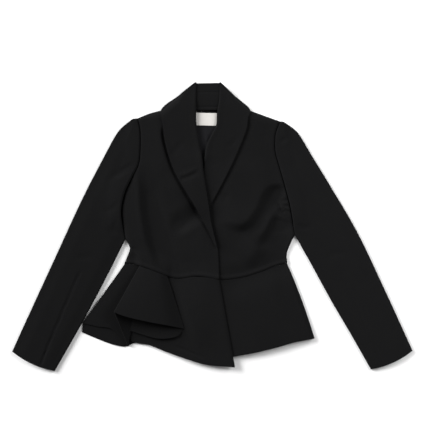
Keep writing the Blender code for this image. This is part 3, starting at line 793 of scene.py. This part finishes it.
def settled(name, shape, cloth, nodes, round_width):
    """Turns a shape into a finished piece: edges rounded, riding on the body and given its cloth's material.

    The cloth is the function that makes its material.
    """
    bmesh.ops.recalc_face_normals(shape, faces=shape.faces[:])
    piece = meshed(name, shape)
    piece.data.materials.append(shared(cloth))
    for face in piece.data.polygons:
        face.use_smooth = True
    rounding = piece.modifiers.new("rounding", "BEVEL")
    rounding.width = round_width
    rounding.segments = ROUND_STEPS
    rounding.limit_method = "ANGLE"
    rounding.angle_limit = ROUND_ANGLE
    bpy.ops.object.modifier_apply(modifier="rounding")
    piece.select_set(False)
    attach(piece, BODY)
    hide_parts(*nodes)


def laid(name, grid, heights, wall, cloth, nodes):
    """Lays a panel: a grid moved onto its plan points and heights, then drawn up by its wall."""
    panel = gridded(np.dstack([grid, np.broadcast_to(heights, grid.shape[:2])]))
    raised = bmesh.ops.extrude_face_region(panel, geom=panel.faces[:])
    for part in raised["geom"]:
        if isinstance(part, bmesh.types.BMVert):
            part.co.z += wall * MM
    round_width = min(bpy.context.scene.blazer_sizes.hem_round, MOST_ROUND_SHARE * wall * MM)
    settled(name, panel, cloth, nodes, round_width)


def waist_between(x0, x1, steps):
    """Gives the waist seam between two x values."""
    x = np.linspace(x0, x1, steps + 1)
    return np.column_stack([x, waist_y(x)])


def top_between(shoulder, neck_x, steps):
    """Gives the shoulder seam and the neck seam as far as neck_x."""
    along_shoulder = steps // 2
    return chain(line(shoulder, along_shoulder),
                 straight(shoulder[-1], (neck_x, NECK_Y), steps - along_shoulder))


def tapered(top, top_half, foot, foot_half, rows):
    """Gives the plan grid of a straight-sided panel from its middle points and half widths."""
    upper = straight((top.x - top_half, top.y), (top.x + top_half, top.y), COLLAR_COLUMNS)
    lower = straight((foot.x - foot_half, foot.y), (foot.x + foot_half, foot.y), COLLAR_COLUMNS)
    return filled(upper, lower, straight(upper[0], lower[0], rows), straight(upper[-1], lower[-1], rows))


class BLAZER_OT_back(bpy.types.Operator):
    """Lays the two back panels and the back peplum on the floor"""
    bl_idname = "blazer.back"
    bl_label = "Back"

    def execute(self, context):
        for side, shoulder, armhole, seam, sign in (("l", SHOULDER_L, ARMHOLE_L, SIDE_L, -1),
                                                    ("r", SHOULDER_R, ARMHOLE_R, SIDE_R, 1)):
            middle = CENTRE_BACK_X + sign * SEAM_GAP / 2
            edge = chain(line(armhole, BACK_ROWS_ARM), line(seam, BACK_ROWS_SIDE))
            edge = edge + np.array([sign * BACK_TUCK, 0])
            top = top_between(shoulder, middle, BACK_COLUMNS)
            bottom = waist_between(seam[-1].x, middle, BACK_COLUMNS)
            centre = straight((middle, NECK_Y), bottom[-1], BACK_ROWS_ARM + BACK_ROWS_SIDE)
            laid("back_" + side, filled(top, bottom, edge, centre), 0.0, WALL, wool_crepe,
                 ["back_bodice_" + side])
        waist = chain(waist_between(SIDE_L[-1].x, CENTRE_BACK_X, BACK_COLUMNS),
                      waist_between(CENTRE_BACK_X, SIDE_R[-1].x, BACK_COLUMNS)) - np.array([0, SEAM_GAP])
        hem = line(BACK_HEM, 2 * BACK_COLUMNS)
        side_l = chain(straight(waist[0], BACK_SIDE_KNEE, BACK_PEPLUM_ROWS - BACK_KNEE_ROWS),
                       straight(BACK_SIDE_KNEE, hem[0], BACK_KNEE_ROWS))
        side_r = bowed(waist[-1], hem[-1], RIGHT_PEPLUM_BOW, BACK_PEPLUM_ROWS)
        laid("back_peplum", filled(waist, hem, side_l, side_r), 0.0, WALL, wool_crepe, ["peplum_back"])
        return {"FINISHED"}


class BLAZER_OT_fronts(bpy.types.Operator):
    """Lays the two fronts on the back, the left one over the right one"""
    bl_idname = "blazer.fronts"
    bl_label = "Fronts"

    def execute(self, context):
        rows = FRONT_ROWS_ARM + FRONT_ROWS_SIDE
        half_gap = np.array([SEAM_GAP / 2, 0])
        edge = chain(line(ARMHOLE_L, FRONT_ROWS_ARM), line(SIDE_L, FRONT_ROWS_SIDE)) + half_gap
        opening = chain(line(ROLL_L, FRONT_ROLL_ROWS_L), line(FRONT_EDGE_L, rows - FRONT_ROLL_ROWS_L))
        grid = filled(top_between(SHOULDER_L, ROLL_L[0].x, FRONT_COLUMNS),
                      waist_between(SIDE_L[-1].x, FRONT_EDGE_L[-1].x, FRONT_COLUMNS), edge, opening)
        laid("left_front", grid, self.left_under(grid[..., 0], grid[..., 1]), WALL, wool_crepe, ["front_l"])

        edge = chain(line(ARMHOLE_R, FRONT_ROWS_ARM), line(SIDE_R, FRONT_ROWS_SIDE)) - half_gap
        foot = Spot(FRONT_EDGE_R[-1].x, float(waist_y(FRONT_EDGE_R[-1].x)))
        opening = chain(line(ROLL_R, FRONT_ROLL_ROWS_R),
                        line(FRONT_EDGE_R[:-1] + [foot], rows - FRONT_ROLL_ROWS_R))
        grid = filled(top_between(SHOULDER_R, ROLL_R[0].x, FRONT_COLUMNS),
                      waist_between(SIDE_R[-1].x, FRONT_EDGE_R[-1].x, FRONT_COLUMNS), edge, opening)
        laid("right_front", grid, self.right_under(grid[..., 0], grid[..., 1]), WALL, wool_crepe, ["front_r"])
        return {"FINISHED"}

    def pressed(self, x, y):
        """Gives the ridge of the seam allowance that is pressed up above the waist seam."""
        ridge = bpy.context.scene.blazer_sizes.seam_ridge / MM
        return ridge * bell(y - waist_y(x) - SEAM_RIDGE_ABOVE, SEAM_RIDGE_REACH)

    def left_under(self, x, y):
        """Gives the underside of the left front with its folds, carried by the folded peplum at the waist."""
        lying = kept_up(left_front_height(x, y) + creased(LEFT_FRONT_WRINKLES + FRONT_WRINKLES, x, y))
        near_waist = ease(1 - (y - waist_y(x)) / WAIST_BLEND)
        return lying * (1 - near_waist) + along(LEFT_WAIST, x) * near_waist + self.pressed(x, y)

    def right_under(self, x, y):
        """Gives the underside of the right front with its folds."""
        return kept_up(right_front_height(x, y) + creased(FRONT_WRINKLES, x, y)) + self.pressed(x, y)


class BLAZER_OT_peplum(bpy.types.Operator):
    """Makes the front peplums: a plain one on the right and one folded into a flute on the left"""
    bl_idname = "blazer.peplum"
    bl_label = "Front peplums"

    def execute(self, context):
        waist = waist_between(FRONT_EDGE_R[-1].x, SIDE_R[-1].x, RIGHT_PEPLUM_COLUMNS)
        waist = waist - np.array([0, SEAM_GAP])
        hem = line(RIGHT_HEM, RIGHT_PEPLUM_COLUMNS)
        grid = filled(waist, hem, straight(waist[0], hem[0], RIGHT_PEPLUM_ROWS),
                      bowed(waist[-1], hem[-1], RIGHT_PEPLUM_BOW, RIGHT_PEPLUM_ROWS))
        laid("right_peplum", grid, kept_up(right_front_height(grid[..., 0], grid[..., 1])), WALL, wool_crepe,
             ["peplum_front_r"])
        self.fluted()
        return {"FINISHED"}

    def fluted(self):
        """Makes the left peplum from one folded strip, with a puffed flute and a rounded front edge."""
        columns = self.columns()
        waists = np.array([column.waist for column in columns])
        hems = np.array([column.hem for column in columns])
        layers = np.array([column.layer for column in columns])
        down = np.linspace(0, 1, FLUTE_ROWS + 1)[:, None, None]
        surface = waists[None] * (1 - down) + hems[None] * down
        from_end = np.linalg.norm(surface[:, -1:, :2] - surface[..., :2], axis=2)
        on_front = (rolled(from_end, FRONT_ROUND_REACH, FRONT_ROUND) - FRONT_ROUND
                    + self.risen(surface, waists, hems, layers)
                    + wrinkled(PEPLUM_WRINKLES, surface[..., 0], surface[..., 1]))
        bulge = np.sin(np.pi * down[..., 0]) ** FLUTE_PUFF_DOWN_POWER
        puff = FLUTE_PUFF * self.puffed(layers)[None, :] * bulge
        surface[..., 2] += puff + np.where(layers[None, :] == layers[-1], on_front, 0.0)
        strip = walled("left_peplum", gridded(surface), FLUTE_WALL, 0.0, True)
        settled("left_peplum", strip, wool_crepe, ["peplum_front_l"],
                FLUTE_ROUND * MM)

    def puffed(self, layers):
        """Gives how far each column of the strip's top layer stands up, from 0 to 1."""
        top = np.flatnonzero(layers == FLUTE_TOP_LAYER)
        share = np.clip((np.arange(len(layers)) - top[0]) / (top[-1] - top[0]), 0, 1)
        return np.sin(np.pi * share ** FLUTE_PUFF_ACROSS_POWER)

    def risen(self, surface, waists, hems, layers):
        """Gives how far the front panel is pushed up beside the flute's right fold."""
        fold = np.flatnonzero(layers == FLUTE_TOP_LAYER)[-1]
        start, heading = waists[fold, :2], hems[fold, :2] - waists[fold, :2]
        length = np.linalg.norm(heading)
        heading = heading / length
        offset = surface[..., :2] - start
        travel = (offset @ heading) / length
        away = heading[0] * offset[..., 1] - heading[1] * offset[..., 0]
        return (FLUTE_SIDE_RISE * within(travel, FLUTE_SIDE_SPAN) * ease(away / FLUTE_SIDE_REACH)
                * (1 - ease((away - FLUTE_SIDE_REACH) / FLUTE_SIDE_SOFT)))

    def columns(self):
        """Gives the columns of the strip's middle surface, with round turns between its layers."""
        runs, run = [], []
        for fold in LEFT_FOLDS:
            run.append(fold)
            if fold.turns:
                runs.append(run)
                run = []
        runs.append(run)
        columns = []
        for layer, run in enumerate(runs):
            waist = np.array([(f.waist_x, waist_y(f.waist_x) - 2 * SEAM_GAP, f.waist_z) for f in run], float)
            hem = np.array([(f.hem_x, f.hem_y, f.hem_z) for f in run], float)
            both = line(np.hstack([waist, hem]), FOLD_STEPS * (len(run) - 1))
            columns.extend(Column(row[:3], row[3:], layer) for row in both)
            if layer + 1 < len(runs):
                following = runs[layer + 1][0]
                for step in range(1, TURN_STEPS):
                    angle = math.pi * step / TURN_STEPS
                    waist_turn = self.turned(both[-1][:3], both[-2][:3], following.waist_z, angle)
                    hem_turn = self.turned(both[-1][3:], both[-2][3:], following.hem_z, angle)
                    columns.append(Column(waist_turn, hem_turn, TURNING))
        return columns

    def turned(self, last, before, rise, angle):
        """Gives a point of the half circle that turns a layer's end up or down to the next layer."""
        heading = (last - before)[:2]
        heading = heading / np.linalg.norm(heading)
        radius = (rise - last[2]) / 2
        out = abs(radius) * math.sin(angle)
        return np.array([*(last[:2] + heading * out), last[2] + radius * (1 - math.cos(angle))])


class BLAZER_OT_sleeves(bpy.types.Operator):
    """Makes the two sleeves as flattened tubes, open at the cuffs"""
    bl_idname = "blazer.sleeves"
    bl_label = "Sleeves"

    def execute(self, context):
        for side, outer, armhole, underarm, sign, lift in (
                ("l", SLEEVE_OUT_L, ARMHOLE_L, UNDERARM_L, -1, UNDERARM_LIFT_L),
                ("r", SLEEVE_OUT_R, ARMHOLE_R, UNDERARM_R, 1, UNDERARM_LIFT_R)):
            outside = line(outer, SLEEVE_ROWS)
            inside = chain(line(armhole, SLEEVE_ROWS_ARM), line(underarm, SLEEVE_ROWS - SLEEVE_ROWS_ARM))
            inside = inside + np.array([sign * SEAM_GAP / 2, 0])
            across = inside - outside
            across = across / np.linalg.norm(across, axis=1)[:, None] * SLEEVE_EDGE_RADIUS
            outside, inside = outside + across, inside - across
            grid = filled(straight(outside[0], inside[0], SLEEVE_COLUMNS),
                          bowed(outside[-1], inside[-1], sign * CUFF_BOW, SLEEVE_COLUMNS), outside, inside)
            self.tube("sleeve_" + side, grid, self.topped(grid, lift))
        return {"FINISHED"}

    def topped(self, grid, underarm_lift):
        """Gives the heights of a sleeve's upper face: its loft, creases, cap and lifted underarm."""
        sizes = bpy.context.scene.blazer_sizes
        x, y = grid[..., 0], grid[..., 1]
        width = np.linalg.norm(grid[:, -1] - grid[:, 0], axis=1)[:, None]
        share = np.linspace(0, 1, SLEEVE_COLUMNS + 1)[None, :]
        from_edge = np.minimum(share, 1 - share) * width
        loft = SLEEVE_LOFT * ease(from_edge / SLEEVE_SOFT)
        creases = wrinkled(SLEEVE_WRINKLES, x, y) * ease(from_edge / SLEEVE_CREASE_FADE)
        creases = creases + wrinkled(SLEEVE_SEAMS, x, y)
        ripple = rippled(x, y) * sizes.ripple / MM * ease(from_edge / SLEEVE_RIPPLE_FADE)
        top = 2 * SLEEVE_EDGE_RADIUS + np.maximum(loft + creases + ripple, 0.0)
        from_armhole = (1 - share) * width
        cap = CAP_LIFT * ease(1 - from_armhole / CAP_REACH) * ease((y - CAP_FOOT) / CAP_SOFT)
        underarm = underarm_lift * ease(1 - from_armhole / UNDERARM_REACH) * within(y, UNDERARM_SPAN)
        return top + cap + underarm

    def tube(self, name, grid, top):
        """Wraps a plan grid into a flattened tube with folded edges, then gives it a wall."""
        width = np.linalg.norm(grid[:, -1] - grid[:, 0], axis=1)
        rings = []
        for plan, heights, across in zip(grid, top, width):
            outward = (plan[-1] - plan[0]) / max(across, LEAST_DISTANCE)
            ring = [(*spot, height) for spot, height in zip(plan, heights)]
            ring.extend(self.turned(plan[-1], outward, heights[-1], 1))
            ring.extend((*spot, 0.0) for spot in plan[::-1])
            ring.extend(self.turned(plan[0], outward, heights[0], -1))
            rings.append(ring + ring[:1])
        tube = gridded(np.array(rings))
        bmesh.ops.remove_doubles(tube, verts=tube.verts[:], dist=LEAST_DISTANCE)
        head = [edge for edge in tube.edges if edge.is_boundary
                and all(vert.co.y > SLEEVE_HEAD_Y * MM for vert in edge.verts)]
        bmesh.ops.contextual_create(tube, geom=head)
        bmesh.ops.recalc_face_normals(tube, faces=tube.faces[:])
        shape = walled(name, tube, SLEEVE_WALL, -1.0, False)
        settled(name, shape, wool_crepe, [name + "_top", name + "_under"],
                SLEEVE_ROUND * MM)

    def turned(self, edge, outward, height, way):
        """Gives the half round of a folded edge: down to the underside, or back up for a way of -1."""
        points = []
        for step in range(1, SLEEVE_TURN_STEPS):
            angle = math.pi * step / SLEEVE_TURN_STEPS
            out = SLEEVE_EDGE_RADIUS * math.sin(angle) * way
            points.append((*(edge + outward * out), height / 2 * (1 + way * math.cos(angle))))
        return points


class BLAZER_OT_collar(bpy.types.Operator):
    """Makes the shawl collar: two lapels, the stand and the fall"""
    bl_idname = "blazer.collar"
    bl_label = "Shawl collar"

    def execute(self, context):
        tip_rows = LAPEL_ROWS - LAPEL_NECK_ROWS_L - LAPEL_ROLL_ROWS_L
        inner = chain(line(LAPEL_IN_L, LAPEL_NECK_ROWS_L), line(ROLL_L, LAPEL_ROLL_ROWS_L),
                      line(LAPEL_TIP_L, tip_rows))
        self.lapel("left_lapel", line(LAPEL_OUT_L, LAPEL_ROWS), inner, left_front_height, ["lapel_l"],
                   ["left_front"])
        inner = chain(line(LAPEL_IN_R, LAPEL_NECK_ROWS_R), line(ROLL_R, LAPEL_ROWS - LAPEL_NECK_ROWS_R))
        self.lapel("right_lapel", line(LAPEL_OUT_R, LAPEL_ROWS), inner, right_front_height, ["lapel_r"],
                   ["right_front"])
        self.fall()
        self.stand()
        return {"FINISHED"}

    def lapel(self, name, outer, inner, under, nodes, rests_on):
        """Lays a lapel on its front: its edge stands off the front and its roll line is its highest part."""
        grid = filled(straight(outer[0], inner[0], LAPEL_COLUMNS),
                      straight(outer[-1], inner[-1], LAPEL_COLUMNS), outer, inner)
        x, y = grid[..., 0], grid[..., 1]
        width = np.linalg.norm(inner - outer, axis=1)[:, None]
        share = np.linspace(0, 1, LAPEL_COLUMNS + 1)[None, :]
        from_outer, from_inner = share * width, (1 - share) * width
        full = ease(width / LAPEL_FULL_WIDTH)
        height = under(x, y) + WALL + LAYER_GAP - over_collar(y)
        height = height + np.maximum(creased(FRONT_WRINKLES, x, y), 0)
        height = height + wrinkled(LAPEL_WRINKLES, x, y) * ease(from_outer / LAPEL_CREASE_FADE)
        below_neck = ease((NECK_Y - y) / LAPEL_EDGE_FADE)
        edge = LAPEL_EDGE_LIFT * ease(1 - from_outer / LAPEL_EDGE_REACH) * below_neck
        ridge = (ROLL_RIDGE * ease(1 - from_inner / ROLL_REACH)
                 + rolled(from_inner, ROLL_ROUND_REACH, ROLL_ROUND) - ROLL_ROUND)
        ridge = np.maximum(ridge, ROLL_DEEPEST) * ease((y - ROLL_FOOT) / ROLL_FADE)
        laid(name, grid, height + (edge + ridge) * full, LAPEL_WALL, wool_crepe, nodes)

    def fall(self):
        """Lays the fall flat on the floor."""
        foot_l = Spot(LAPEL_OUT_L[2].x + FALL_TUCK, NECK_Y + SEAM_GAP)
        foot_r = Spot(LAPEL_OUT_R[2].x - FALL_TUCK, NECK_Y + SEAM_GAP)
        grid = filled(straight(FALL_TOP_L, FALL_TOP_R, COLLAR_COLUMNS),
                      straight(foot_l, foot_r, COLLAR_COLUMNS),
                      line([FALL_TOP_L, FALL_KNEE_L, foot_l], FALL_ROWS),
                      line([FALL_TOP_R, FALL_KNEE_R, foot_r], FALL_ROWS))
        laid("collar_fall_cloth", grid, 0.0, WALL, wool_crepe, ["collar_fall"])

    def stand(self):
        """Lays the stand over the fall, with its two seam lines."""
        foot = Spot(STAND_TOP.x, NECK_Y + SEAM_GAP)
        grid = tapered(STAND_TOP, STAND_TOP_HALF, foot, STAND_FOOT_HALF, STAND_ROWS)
        y = grid[..., 1]
        share = np.clip((y - NECK_Y) / (STAND_TOP.y - NECK_Y), 0, 1)
        seams = STAND_SEAM_DEPTH * sum(bell(y - seam_y, STAND_SEAM_REACH) for seam_y in STAND_SEAMS)
        height = EDGE_HEIGHT + STAND_LIFT + STAND_BULGE * np.sin(np.pi * share) - seams
        laid("collar_stand_cloth", grid, height, WALL, wool_crepe, ["collar_stand"])


class BLAZER_OT_neck(bpy.types.Operator):
    """Makes the lining that shows in the neck and the bare label sewn on it"""
    bl_idname = "blazer.neck"
    bl_label = "Lining and label"

    def execute(self, context):
        top = Spot(CENTRE_BACK_X, NECK_Y)
        grid = tapered(top, LINING_TOP_HALF, LINING_FOOT, LINING_FOOT_HALF, LINING_ROWS)
        x, y = grid[..., 0], grid[..., 1]
        from_pleat = x - PLEAT.x + PLEAT_SLANT * (y - PLEAT.y)
        pleat = PLEAT_HEIGHT * bell(from_pleat, PLEAT_REACH) * ease((PLEAT_TOP - y) / PLEAT_SOFT)
        lift = NECK_LIFT * within(y, LINING_SPAN)
        laid("neck_lining", grid, EDGE_HEIGHT + lift + pleat, LINING_WALL, lining_satin, ["back_lining"])

        cosine, sine = math.cos(LABEL_TILT), math.sin(LABEL_TILT)
        across, down = np.meshgrid(np.linspace(-0.5, 0.5, COLLAR_COLUMNS + 1),
                                   np.linspace(0.5, -0.5, LABEL_ROWS + 1))
        dx, dy = across * LABEL_WIDTH, down * LABEL_HEIGHT
        grid = np.stack([LABEL_MIDDLE.x + dx * cosine - dy * sine, LABEL_MIDDLE.y + dx * sine + dy * cosine],
                        axis=-1)
        height = EDGE_HEIGHT + LINING_WALL + SEAM_GAP + NECK_LIFT
        wave = LABEL_WAVE * np.sin(dx / LABEL_WAVE_LENGTH) ** 2
        laid("neck_label", grid, height + wave, LABEL_WALL, label_tape, ["label"])
        return {"FINISHED"}


class BLAZER_OT_stage(bpy.types.Operator):
    """Sets the white floor, the soft light and the camera straight above"""
    bl_idname = "blazer.stage"
    bl_label = "Stage"

    def execute(self, context):
        scene = context.scene
        bpy.ops.object.select_all(action="DESELECT")
        bpy.ops.mesh.primitive_plane_add(size=FLOOR_SIZE, location=(0, 0, -FLOOR_DROP))
        floor = context.active_object
        floor.name = "floor"
        material, shader = begun("matte_white_paper", roughness=0.9, ior=1.45)
        shader.inputs["Base Color"].default_value = (*scene.blazer_colours.floor, 1)
        shader.inputs["Specular IOR Level"].default_value = 0.1
        floor.data.materials.append(material)

        world = bpy.data.worlds.new("studio_fill")
        scene.world = world
        world.use_nodes = True
        world.node_tree.nodes["Background"].inputs["Color"].default_value = (1, 1, 1, 1)
        world.node_tree.nodes["Background"].inputs["Strength"].default_value = FILL_STRENGTH

        for softbox in SOFTBOXES:
            light = bpy.data.lights.new(softbox.name, "AREA")
            light.shape = "DISK"
            light.size = softbox.size
            light.energy = softbox.power
            lamp = bpy.data.objects.new(softbox.name, light)
            lamp.location = softbox.place
            aim = -lamp.location
            lamp.rotation_euler = aim.to_track_quat("-Z", "Y").to_euler()
            scene.collection.objects.link(lamp)

        lens = bpy.data.cameras.new("camera_above")
        lens.sensor_width = SENSOR
        lens.lens = SENSOR * CAMERA_HEIGHT / VIEW_WIDTH
        lens.clip_end = CAMERA_REACH
        camera = bpy.data.objects.new("camera_above", lens)
        camera.location = (*VIEW_MIDDLE, CAMERA_HEIGHT)
        scene.collection.objects.link(camera)
        scene.camera = camera
        scene.view_settings.view_transform = "Standard"
        return {"FINISHED"}


class BLAZER_PT_panel(bpy.types.Panel):
    """Lists the blazer's pieces, sizes and colours"""
    bl_idname = "BLAZER_PT_panel"
    bl_label = "Peplum blazer"
    bl_space_type = "VIEW_3D"
    bl_region_type = "UI"
    bl_category = "Blazer"

    def draw(self, context):
        for operator in OPERATORS:
            self.layout.operator(operator.bl_idname)
        for group in (context.scene.blazer_sizes, context.scene.blazer_colours):
            for name in group.bl_rna.properties.keys():
                if name not in {"rna_type", "name"}:
                    self.layout.prop(group, name)


OPERATORS = (BLAZER_OT_back, BLAZER_OT_fronts, BLAZER_OT_peplum, BLAZER_OT_sleeves, BLAZER_OT_collar,
             BLAZER_OT_neck, BLAZER_OT_stage)
CLASSES = (BlazerSizes, BlazerColours, *OPERATORS, BLAZER_PT_panel)


def register():
    for cls in CLASSES:
        bpy.utils.register_class(cls)
    bpy.types.Scene.blazer_sizes = bpy.props.PointerProperty(type=BlazerSizes)
    bpy.types.Scene.blazer_colours = bpy.props.PointerProperty(type=BlazerColours)


def unregister():
    del bpy.types.Scene.blazer_sizes
    del bpy.types.Scene.blazer_colours
    for cls in reversed(CLASSES):
        bpy.utils.unregister_class(cls)


def main():
    register()
    bpy.ops.object.select_all(action="DESELECT")
    bpy.ops.blazer.back()
    bpy.ops.blazer.fronts()
    bpy.ops.blazer.peplum()
    bpy.ops.blazer.sleeves()
    bpy.ops.blazer.collar()
    bpy.ops.blazer.neck()
    bpy.ops.blazer.stage()
    bpy.context.view_layer.update()


if __name__ == "__main__":
    main()
